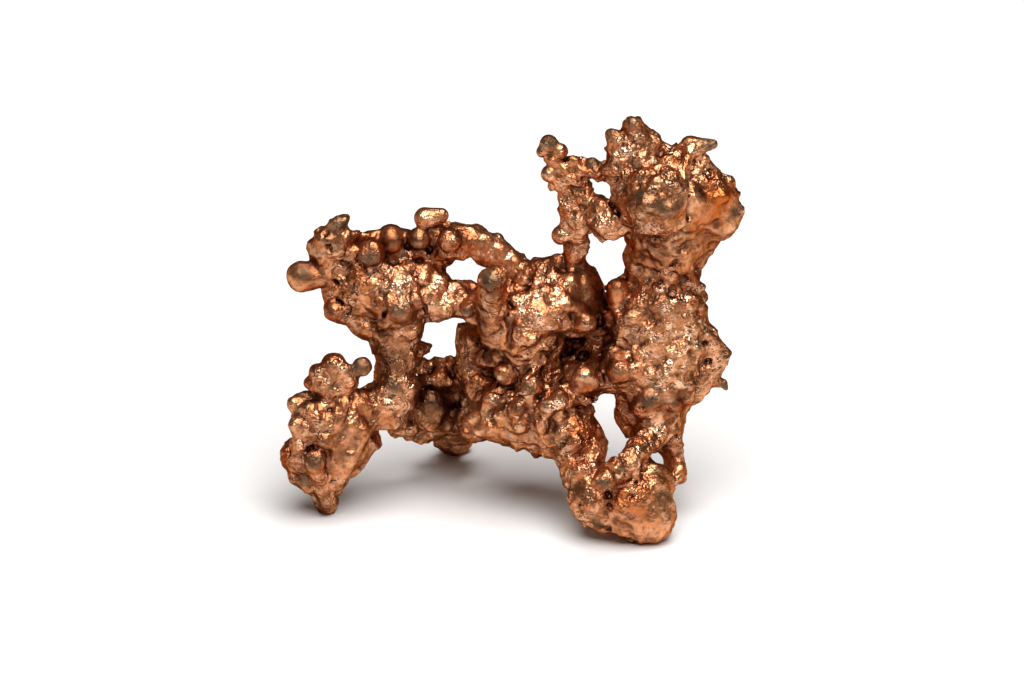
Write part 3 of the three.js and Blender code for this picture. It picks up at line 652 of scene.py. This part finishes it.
def smooth_share(points):
    """How much of the grain stays at each point: 1 on rough metal and less on the smooth places."""
    share = np.ones(len(points), np.float32)
    for across, up, radius, kept in SMOOTH:
        away = shown_from(points, across, up) / radius
        share = np.minimum(share, kept + (1 - kept) * np.clip(away * 1.6 - 0.9, 0, 1))
    return share


def roughness(points):
    """How rough the skin is at each point: some stretches are smoother, others are grained all over."""
    rough = np.clip(0.9 + 0.9 * cloud(points, spacing=3.2, seed=5), SMOOTHEST, ROUGHEST)
    for across, up, radius in GRAINY:
        away = shown_from(points, across, up) / radius
        rough = np.maximum(rough, GRAINY_ROUGHNESS * np.clip(2 - 1.6 * away, 0, 1))
    return rough * smooth_share(points)


def band_about_surface(field, axes, width):
    """The grid cells this near to the surface, and their points in drawing units."""
    band = np.nonzero(np.abs(field) < width)
    return band, np.stack([a[i] for a, i in zip(axes, band)], axis=1)


def add_relief(field, axes):
    """Rolling lumps, grains and pits, added in a thin band about the surface."""
    band, points = band_about_surface(field, axes, RELIEF_BAND)
    share = smooth_share(points)
    rough = roughness(points)
    bent = points + 0.5 * np.stack([cloud(points, 1.4, seed) for seed in (11, 12, 13)], axis=1)
    relief = raised_grains(bent, height=0.2, spacing=2.1, seed=1)
    relief += net_of_crests(bent, height=0.24, level=0.5, spacing=2.0, seed=8)
    fine = raised_grains(bent, height=0.26, spacing=1.05, seed=2)
    fine += raised_grains(points, height=0.11, spacing=0.5, seed=7)
    crests = net_of_crests(bent, height=0.15, level=0.4, spacing=0.8, seed=3)
    fine += crests + 0.04 * cloud(points, spacing=0.45, seed=4)
    pits = np.clip(grains(points, spacing=2.3, seed=6) - PIT_LEVEL, 0, 1) * PIT_DEPTH
    field[band] += 0.5 * waves(points) + share * (relief - pits) + rough * fine


def add_faint_relief(field, axes):
    """The faint unevenness that the beads have too."""
    band, points = band_about_surface(field, axes, BEAD_BAND)
    fine = 0.05 * cloud(points, spacing=0.6, seed=31)
    field[band] += fine + 0.05 * cloud(points, spacing=1.1, seed=32)


def cut_ground(field, axes):
    """Cuts the feet flat at the ground."""
    np.minimum(field, axes[2][None, None, :], out=field)


def quarter(field, a, b, i, j):
    """The field from i and j cells on along the axes a and b, which holds one corner of each cell."""
    cut = [slice(None)] * 3
    cut[a] = slice(i, field.shape[a] - 1 + i)
    cut[b] = slice(j, field.shape[b] - 1 + j)
    return field[tuple(cut)]


def mend_corners(field):
    """Fills cells that would touch only edge to edge, so that no edge of the skin has four faces."""
    for _ in range(MENDING_ROUNDS):
        changed = 0
        for a, b in ((0, 1), (0, 2), (1, 2)):
            c00, c01, c10, c11 = [quarter(field, a, b, i, j) for i in (0, 1) for j in (0, 1)]
            rising = (c00 > 0) & (c11 > 0) & (c01 <= 0) & (c10 <= 0)
            falling = (c01 > 0) & (c10 > 0) & (c00 <= 0) & (c11 <= 0)
            c01[rising] = BARELY_INSIDE
            c00[falling] = BARELY_INSIDE
            changed += int(rising.sum() + falling.sum())
        if not changed:
            return


def edge_ends(axis):
    """The slices of a grid with the lower and the upper ends of its edges along one axis."""
    lower = [slice(None)] * 3
    upper = [slice(None)] * 3
    lower[axis] = slice(0, -1)
    upper[axis] = slice(1, None)
    return tuple(lower), tuple(upper)


def cell_vertices(field, inside):
    """A vertex for each cell that the surface crosses, in grid steps, and each cell's vertex number."""
    shape = np.array(field.shape) - 1
    total = np.zeros(list(shape) + [3], np.float32)
    count = np.zeros(shape, np.int16)
    for axis in range(3):
        others = [k for k in range(3) if k != axis]
        lower, upper = edge_ends(axis)
        crossed = np.nonzero(inside[lower] != inside[upper])
        first = field[lower][crossed]
        second = field[upper][crossed]
        where = np.stack(crossed, axis=1).astype(np.float32)
        where[:, axis] += first / (first - second)
        for step in np.ndindex(2, 2):
            cell = [c.copy() for c in crossed]
            cell[others[0]] -= step[0]
            cell[others[1]] -= step[1]
            fits = np.all([(cell[k] >= 0) & (cell[k] < shape[k]) for k in range(3)], axis=0)
            chosen = tuple(c[fits] for c in cell)
            np.add.at(total, chosen, where[fits])
            np.add.at(count, chosen, 1)
    used = count > 0
    number = np.full(shape, -1, np.int32)
    number[used] = np.arange(used.sum())
    return total[used] / count[used][:, None], number


def edge_quads(inside, number):
    """One quad round each grid edge that the surface crosses, with its face pointing out."""
    quads = []
    for axis in range(3):
        b = (axis + 1) % 3
        c = (axis + 2) % 3
        lower, upper = edge_ends(axis)
        crossed = np.stack(np.nonzero(inside[lower] != inside[upper]), axis=1)
        corners = []
        for step_b, step_c in ((0, 0), (1, 0), (1, 1), (0, 1)):
            cell = crossed.copy()
            cell[:, b] -= step_b
            cell[:, c] -= step_c
            corners.append(number[cell[:, 0], cell[:, 1], cell[:, 2]])
        ring = np.stack(corners, axis=1)
        leaving = inside[crossed[:, 0], crossed[:, 1], crossed[:, 2]]
        ring[~leaving] = ring[~leaving][:, ::-1]
        quads.append(ring)
    return np.concatenate(quads)


def skin_of(field, axes):
    """The surface where the field crosses zero, as vertices in drawing units and quads."""
    inside = field > 0
    steps, number = cell_vertices(field, inside)
    origin = np.array([a[0] for a in axes])
    return origin + steps * CELL, edge_quads(inside, number)


def largest_island(vertices, quads):
    """Keeps the one connected skin and drops loose grains and sealed pockets."""
    label = np.arange(len(vertices))
    starts = quads[:, [0, 1, 2]].ravel()
    ends = quads[:, [1, 2, 3]].ravel()
    while True:
        low = np.minimum(label[starts], label[ends])
        new = label.copy()
        np.minimum.at(new, starts, low)
        np.minimum.at(new, ends, low)
        new = new[new]
        if np.array_equal(new, label):
            break
        label = new
    names, sizes = np.unique(label, return_counts=True)
    kept = label == names[sizes.argmax()]
    renumber = np.cumsum(kept) - 1
    return vertices[kept], renumber[quads[kept[quads[:, 0]]]]


def mesh_from(name, vertices, faces):
    """A smooth-shaded mesh from arrays of vertices and faces."""
    mesh = bpy.data.meshes.new(name)
    mesh.vertices.add(len(vertices))
    mesh.vertices.foreach_set("co", vertices.astype(np.float32).ravel())
    sides = faces.shape[1]
    mesh.loops.add(faces.size)
    mesh.loops.foreach_set("vertex_index", faces.astype(np.int32).ravel())
    mesh.polygons.add(len(faces))
    mesh.polygons.foreach_set("loop_start", np.arange(0, faces.size, sides, dtype=np.int32))
    mesh.update(calc_edges=True)
    mesh.validate()
    mesh.polygons.foreach_set("use_smooth", np.ones(len(mesh.polygons), bool))
    return mesh


def thinned(obj):
    """Brings the mesh down to the most triangles that a piece may have, and applies it."""
    triangles = sum(len(p.vertices) - 2 for p in obj.data.polygons)
    if triangles <= MOST_TRIANGLES:
        return
    fewer = obj.modifiers.new("fewer", "DECIMATE")
    fewer.ratio = MOST_TRIANGLES / triangles
    graph = bpy.context.evaluated_depsgraph_get()
    made = bpy.data.meshes.new_from_object(obj.evaluated_get(graph))
    obj.modifiers.clear()
    obj.data = made
    made.polygons.foreach_set("use_smooth", np.ones(len(made.polygons), bool))


def vertex_places(mesh):
    """The places of a mesh's vertices."""
    places = np.zeros(len(mesh.vertices) * 3, np.float32)
    mesh.vertices.foreach_get("co", places)
    return places.reshape(-1, 3)


def softened(solid, radius):
    """The share of metal within about this radius of each grid point, by running means."""
    width = max(int(round(radius / CELL)), 1)
    for _ in range(2):
        for axis in range(3):
            padded = np.cumsum(solid, axis=axis, dtype=np.float32)
            ahead = np.roll(padded, -width, axis=axis)
            behind = np.roll(padded, width + 1, axis=axis)
            edge = [slice(None)] * 3
            edge[axis] = slice(-width, None)
            last = [slice(None)] * 3
            last[axis] = slice(-1, None)
            ahead[tuple(edge)] = padded[tuple(last)]
            edge[axis] = slice(0, width + 1)
            behind[tuple(edge)] = 0
            solid = (ahead - behind) / (2 * width + 1)
    return solid


def facing_point(points, across, up):
    """The point nearest the viewer at this place of the drawing."""
    close = shown_from(points, across, up) < SPOT_SIZE
    if not close.any():
        return np.array([across, USUAL_BACK, up])
    shown = points[close]
    towards = shown[:, 1] * math.cos(LEAN) - shown[:, 2] * math.sin(LEAN)
    return shown[towards.argmin()]


def spread_on(points, spots, reach, ragged):
    """Soft-edged patches about places of the drawing, for stains, dirt, painted shade and painted
    highlights, each as strong as its fourth value or else 1.
    """
    amount = np.zeros(len(points))
    for across, up, radius, *strength in spots:
        away = np.linalg.norm(points - facing_point(points, across, up), axis=1) / radius
        share = np.clip(reach - away + ragged, 0, 1)
        amount = np.maximum(amount, share * (strength[0] if strength else 1))
    return amount


def shelter(solid, axes, points):
    """The share of metal that lies above and in front of each point, as far as a few lumps away."""
    softly = softened(solid, SHELTER_BLUR)
    above = [sampled(softly, axes, points + far * TOWARDS_LIGHT) for far in SHELTER_STEPS]
    return np.mean(above, axis=0)


def looks_of(solid, axes, points):
    """What the copper's colour and grain go by at each point of the skin, each from 0 to 1."""
    speckled = 0.35 * cloud(points, spacing=0.6, seed=21) + 0.2 * cloud(points, spacing=0.3, seed=22)
    ragged = cloud(points, spacing=0.9, seed=23) + 0.5 * cloud(points, spacing=0.4, seed=24)
    return {
        "sheltered": shelter(solid, axes, points),
        "hollow": sampled(softened(solid, HOLLOW_BLUR), axes, points),
        "crease": sampled(softened(solid, CREASE_BLUR), axes, points),
        "tarnish": spread_on(points, TARNISH, reach=1.35, ragged=speckled),
        "rough": np.clip(roughness(points), 0, 1),
        "dark": spread_on(points, DARK, reach=1.3, ragged=0.25 * ragged),
        "bright": spread_on(points, BRIGHT, reach=1.3, ragged=0.5 * ragged),
        "ruddy": spread_on(points, RUDDY, reach=1.3, ragged=0.5 * ragged),
    }


def nugget_field(axes):
    """The field of the whole nugget, with its relief and details."""
    field = np.full([len(a) for a in axes], OUTSIDE, np.float32)
    add_lumps(field, axes, [m for m in MASSES if m[0] != BEAD])
    cut_dents(field, axes, DENTS)
    add_relief(field, axes)
    add_lumps(field, axes, [m for m in MASSES if m[0] == BEAD])
    add_details(field, axes)
    add_faint_relief(field, axes)
    cut_ground(field, axes)
    mend_corners(field)
    return field


def make_skin():
    """The dressed nugget, kept within the box of its solid."""
    axes = grid_axes(MASSES)
    field = nugget_field(axes)
    vertices, quads = largest_island(*skin_of(field, axes))
    obj = bpy.data.objects.new("nugget_skin", mesh_from("nugget_skin", vertices, quads))
    bpy.context.scene.collection.objects.link(obj)
    thinned(obj)
    mesh = obj.data
    points = vertex_places(mesh).astype(float)
    solid = (field > 0).astype(np.float32)
    for name, values in looks_of(solid, axes, points).items():
        attribute = mesh.attributes.new(name, "FLOAT", "POINT")
        attribute.data.foreach_set("value", values.astype(np.float32))
    placed = (points - MIDDLE) * UNIT
    placed = np.clip(placed, np.array(cad_low), np.array(cad_high))
    mesh.vertices.foreach_set("co", placed.astype(np.float32).ravel())
    mesh.update()
    return obj


# Colours of the copper, of what lies on it, and of the shade, highlights and warm reflection painted on it
BARE = (0.96, 0.57, 0.36)
# Painted highlight colour for the bright places
HIGHLIGHT_COLOUR = (0.9, 0.45, 0.23)
PINK = (0.74, 0.34, 0.17)
RED = (0.58, 0.215, 0.086)
DEEP_RED = (0.4, 0.12, 0.046)
# Orange, partly the metal's own tone and partly a painted warm reflection
ORANGE = (0.5, 0.12, 0.025)
BROWN = (0.2, 0.085, 0.042)
# Painted shade under lumps, in hollows and in creases
SHADED = (0.22, 0.08, 0.038)
SUNKEN = (0.14, 0.055, 0.028)
CREASED = (0.15, 0.06, 0.033)
# Dirt and painted shade at the dark places
DIRT_AND_SHADE = (0.09, 0.042, 0.024)
DARK_OLIVE = (0.06, 0.036, 0.02)
OLIVE = (0.16, 0.1, 0.058)
COPPER_EDGE = (0.2, 0.1, 0.055)


class Shader:
    """One material; each method adds a node and gives back its output."""

    def __init__(self, name):
        self.material = bpy.data.materials.new(name)
        self.material.use_nodes = True
        self.nodes = self.material.node_tree.nodes
        self.surface = self.nodes["Principled BSDF"]
        self.where = self.nodes.new("ShaderNodeTexCoord").outputs["Object"]

    def feed(self, socket, value):
        """Links a node's output to a socket, or sets a number or colour there."""
        if hasattr(value, "links"):
            self.material.node_tree.links.new(value, socket)
        elif isinstance(value, tuple):
            socket.default_value = (*value, 1)
        else:
            socket.default_value = value

    def attribute(self, name):
        node = self.nodes.new("ShaderNodeAttribute")
        node.attribute_name = name
        return node.outputs["Fac"]

    def ramp(self, value, *stops):
        """Turns a value into a number or a colour."""
        node = self.nodes.new("ShaderNodeValToRGB")
        self.feed(node.inputs["Fac"], value)
        made = node.color_ramp.elements
        while len(made) < len(stops):
            made.new(0.5)
        for stop, (position, colour) in zip(made, stops):
            stop.position = position
            stop.color = (*colour, 1) if isinstance(colour, tuple) else (colour, colour, colour, 1)
        return node.outputs["Color"]

    def mixed(self, share, first, second, blend="MIX"):
        node = self.nodes.new("ShaderNodeMix")
        node.data_type = "RGBA"
        node.blend_type = blend
        self.feed(node.inputs["Factor"], share)
        self.feed(node.inputs[6], first)
        self.feed(node.inputs[7], second)
        return node.outputs[2]

    def calculated(self, operation, first, second):
        node = self.nodes.new("ShaderNodeMath")
        node.operation = operation
        node.use_clamp = True
        self.feed(node.inputs[0], first)
        self.feed(node.inputs[1], second)
        return node.outputs[0]

    def noise(self, millimetres, detail, roughness=0.5):
        node = self.nodes.new("ShaderNodeTexNoise")
        node.inputs["Scale"].default_value = 1000 / millimetres
        node.inputs["Detail"].default_value = detail
        node.inputs["Roughness"].default_value = roughness
        self.feed(node.inputs["Vector"], self.where)
        return node.outputs["Fac"]

    def cells(self, millimetres):
        node = self.nodes.new("ShaderNodeTexVoronoi")
        node.inputs["Scale"].default_value = 1000 / millimetres
        self.feed(node.inputs["Vector"], self.where)
        return node.outputs["Distance"]

    def bumps(self, height, strength, millimetres, under=None):
        node = self.nodes.new("ShaderNodeBump")
        node.inputs["Strength"].default_value = strength
        node.inputs["Distance"].default_value = millimetres / 1000
        self.feed(node.inputs["Height"], height)
        if under:
            self.feed(node.inputs["Normal"], under)
        return node.outputs["Normal"]


def metal_colour(shader, polished):
    """Red and pink patches with dark specks, paler where the metal is polished, with painted highlights at
    the bright places and orange at the ruddy places.
    """
    patches = shader.ramp(shader.noise(4.5, 3), (0.36, DEEP_RED), (0.5, RED), (0.64, PINK))
    specks = shader.ramp(shader.noise(0.42, 4, 0.65), (0.36, 0.4), (0.48, 0.95), (0.66, 1.25))
    colour = shader.mixed(0.85, patches, specks, "MULTIPLY")
    mottled = shader.ramp(shader.noise(1.9, 5, 0.65), (0.5, 0.0), (0.62, 0.75))
    colour = shader.mixed(mottled, colour, BROWN)
    # Painted highlight: paler colour and more bare metal at the bright places
    painted_highlight = shader.attribute("bright")
    colour = shader.mixed(shader.calculated("MULTIPLY", painted_highlight, 0.35), colour, HIGHLIGHT_COLOUR)
    clean = shader.calculated("MULTIPLY", polished, shader.calculated("ADD", 0.45, painted_highlight))
    colour = shader.mixed(clean, colour, BARE)
    # Orange at the ruddy places: partly the metal's own tone, partly a painted warm reflection
    return shader.mixed(shader.attribute("ruddy"), colour, ORANGE)


def with_painted_shade_and_dirt(shader, colour):
    """Paints shade into a colour under lumps and in hollows and creases, and dirt and painted shade on the
    dark places.
    """
    # Painted shade: darker under lumps, in hollows and in creases
    under = shader.ramp(shader.attribute("sheltered"), (0.2, 0.0), (0.85, 0.45))
    colour = shader.mixed(under, colour, SHADED)
    depth = shader.ramp(shader.attribute("hollow"), (0.58, 0.0), (0.88, 0.65))
    colour = shader.mixed(depth, colour, SUNKEN)
    creased = shader.ramp(shader.attribute("crease"), (0.51, 0.0), (0.68, 1.0))
    colour = shader.mixed(shader.calculated("MULTIPLY", creased, 0.9), colour, CREASED)
    # Dirt and painted shade at the dark places
    return shader.mixed(shader.attribute("dark"), colour, DIRT_AND_SHADE)


def copper_grain(shader, rough):
    """Grain that is finer than the mesh, in three sizes, faint where the skin is smooth."""
    coarse = shader.calculated("MULTIPLY", shader.noise(0.7, 3, 0.6), rough)
    grain = shader.bumps(coarse, 0.55, 0.3)
    patchy = shader.ramp(shader.noise(1.6, 2), (0.4, 0.4), (0.56, 1.0))
    grained = shader.calculated("MULTIPLY", rough, patchy)
    fine = shader.calculated("MULTIPLY", shader.noise(0.27, 1), grained)
    grain = shader.bumps(fine, 0.85, 0.22, grain)
    crystals = shader.calculated("MULTIPLY", shader.cells(0.36), grained)
    return shader.bumps(crystals, 0.3, 0.12, grain)


def copper():
    """Copper with painted shade under lumps and in hollows, red and pink patches, bright grains and olive
    tarnish on some ends.
    """
    shader = Shader("native_copper")
    rough = shader.attribute("rough")
    shining = shader.ramp(shader.noise(1.0, 4, 0.65), (0.49, 0.0), (0.6, 1.0))
    polished = shader.calculated("MULTIPLY", shining, rough)
    ragged = shader.ramp(shader.noise(1.3, 4, 0.6), (0.3, 0.5), (0.6, 1.0))
    tarnish = shader.ramp(shader.attribute("tarnish"), (0.0, 0.0), (0.9, 1.0))
    stain = shader.calculated("MULTIPLY", tarnish, ragged)
    olive = shader.mixed(shader.noise(0.9, 2), DARK_OLIVE, OLIVE)
    # Painted shade and dirt laid over the metal's colour
    colour = with_painted_shade_and_dirt(shader, metal_colour(shader, polished))
    dull = shader.ramp(polished, (0.0, 0.4), (1.0, 0.2))
    duller = shader.calculated("MULTIPLY", stain, 0.1)
    sockets = shader.surface.inputs
    shader.feed(sockets["Base Color"], shader.mixed(stain, colour, olive))
    shader.feed(sockets["Metallic"], shader.ramp(stain, (0.2, 1.0), (1.0, 0.8)))
    shader.feed(sockets["Roughness"], shader.calculated("ADD", dull, duller))
    shader.feed(sockets["Specular Tint"], COPPER_EDGE)
    shader.feed(sockets["Normal"], copper_grain(shader, rough))
    return shader.material


FLOOR_HALF = 3.0  # half the side of the floor, in metres
AIM = Vector((0, 0, 0.018))  # the middle of the nugget, which the lights point at, in metres


def plain_floor():
    """A white, almost matt floor."""
    mesh = bpy.data.meshes.new("floor")
    corners = [(x * FLOOR_HALF, y * FLOOR_HALF, 0) for x, y in ((-1, -1), (1, -1), (1, 1), (-1, 1))]
    mesh.from_pydata(corners, [], [(0, 1, 2, 3)])
    floor = bpy.data.objects.new("floor", mesh)
    material = bpy.data.materials.new("white_floor")
    material.use_nodes = True
    surface = material.node_tree.nodes["Principled BSDF"]
    surface.inputs["Base Color"].default_value = (0.86, 0.855, 0.85, 1)
    surface.inputs["Roughness"].default_value = 0.9
    surface.inputs["Specular IOR Level"].default_value = 0.08
    mesh.materials.append(material)
    bpy.context.scene.collection.objects.link(floor)
    return floor


def soft_light(name, size, power, spot):
    """A round soft light at a spot in metres, turned to the nugget."""
    light = bpy.data.lights.new(name, "AREA")
    light.shape = "DISK"
    light.size = size
    light.energy = power
    obj = bpy.data.objects.new(name, light)
    obj.location = spot
    obj.rotation_euler = (AIM - Vector(spot)).to_track_quat("-Z", "Y").to_euler()
    obj.visible_camera = False
    bpy.context.scene.collection.objects.link(obj)


def light_the_scene():
    """Soft light from above and in front, and a warm faint light from all round."""
    soft_light("overhead", size=0.7, power=6.3, spot=(0.05, -0.22, 0.62))
    soft_light("glint", size=0.2, power=0.6, spot=(0.12, 0.05, 0.6))
    soft_light("front", size=0.3, power=0.5, spot=(0.2, -0.3, 0.6))
    world = bpy.data.worlds.new("studio")
    world.use_nodes = True
    background = world.node_tree.nodes["Background"]
    background.inputs["Color"].default_value = (1, 0.86, 0.74, 1)
    background.inputs["Strength"].default_value = 0.11
    bpy.context.scene.world = world
    bpy.context.scene.view_settings.view_transform = "Standard"


LENS_MM = 800
SENSOR_MM = 36
PICTURE_WIDTH = 102.4  # in drawing units
PICTURE_MIDDLE = np.array([0.02, 0.0, 18.05])  # in drawing units


def set_camera():
    """A long lens that looks down on the nugget as the photo does, from straight in front."""
    camera = bpy.data.cameras.new("camera")
    camera.lens = LENS_MM
    camera.sensor_width = SENSOR_MM
    camera.dof.use_dof = False
    camera.clip_start = 0.1
    camera.clip_end = 20
    away = LENS_MM / SENSOR_MM * PICTURE_WIDTH * UNIT
    obj = bpy.data.objects.new("camera", camera)
    obj.location = PICTURE_MIDDLE * UNIT + away * np.array([0, -math.cos(LEAN), math.sin(LEAN)])
    obj.rotation_euler = (math.pi / 2 - LEAN, 0, 0)
    bpy.context.scene.collection.objects.link(obj)
    bpy.context.scene.camera = obj


skin = make_skin()
skin.data.materials.append(copper())
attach(skin, "root")
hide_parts("nugget")
floor = plain_floor()
light_the_scene()
set_camera()
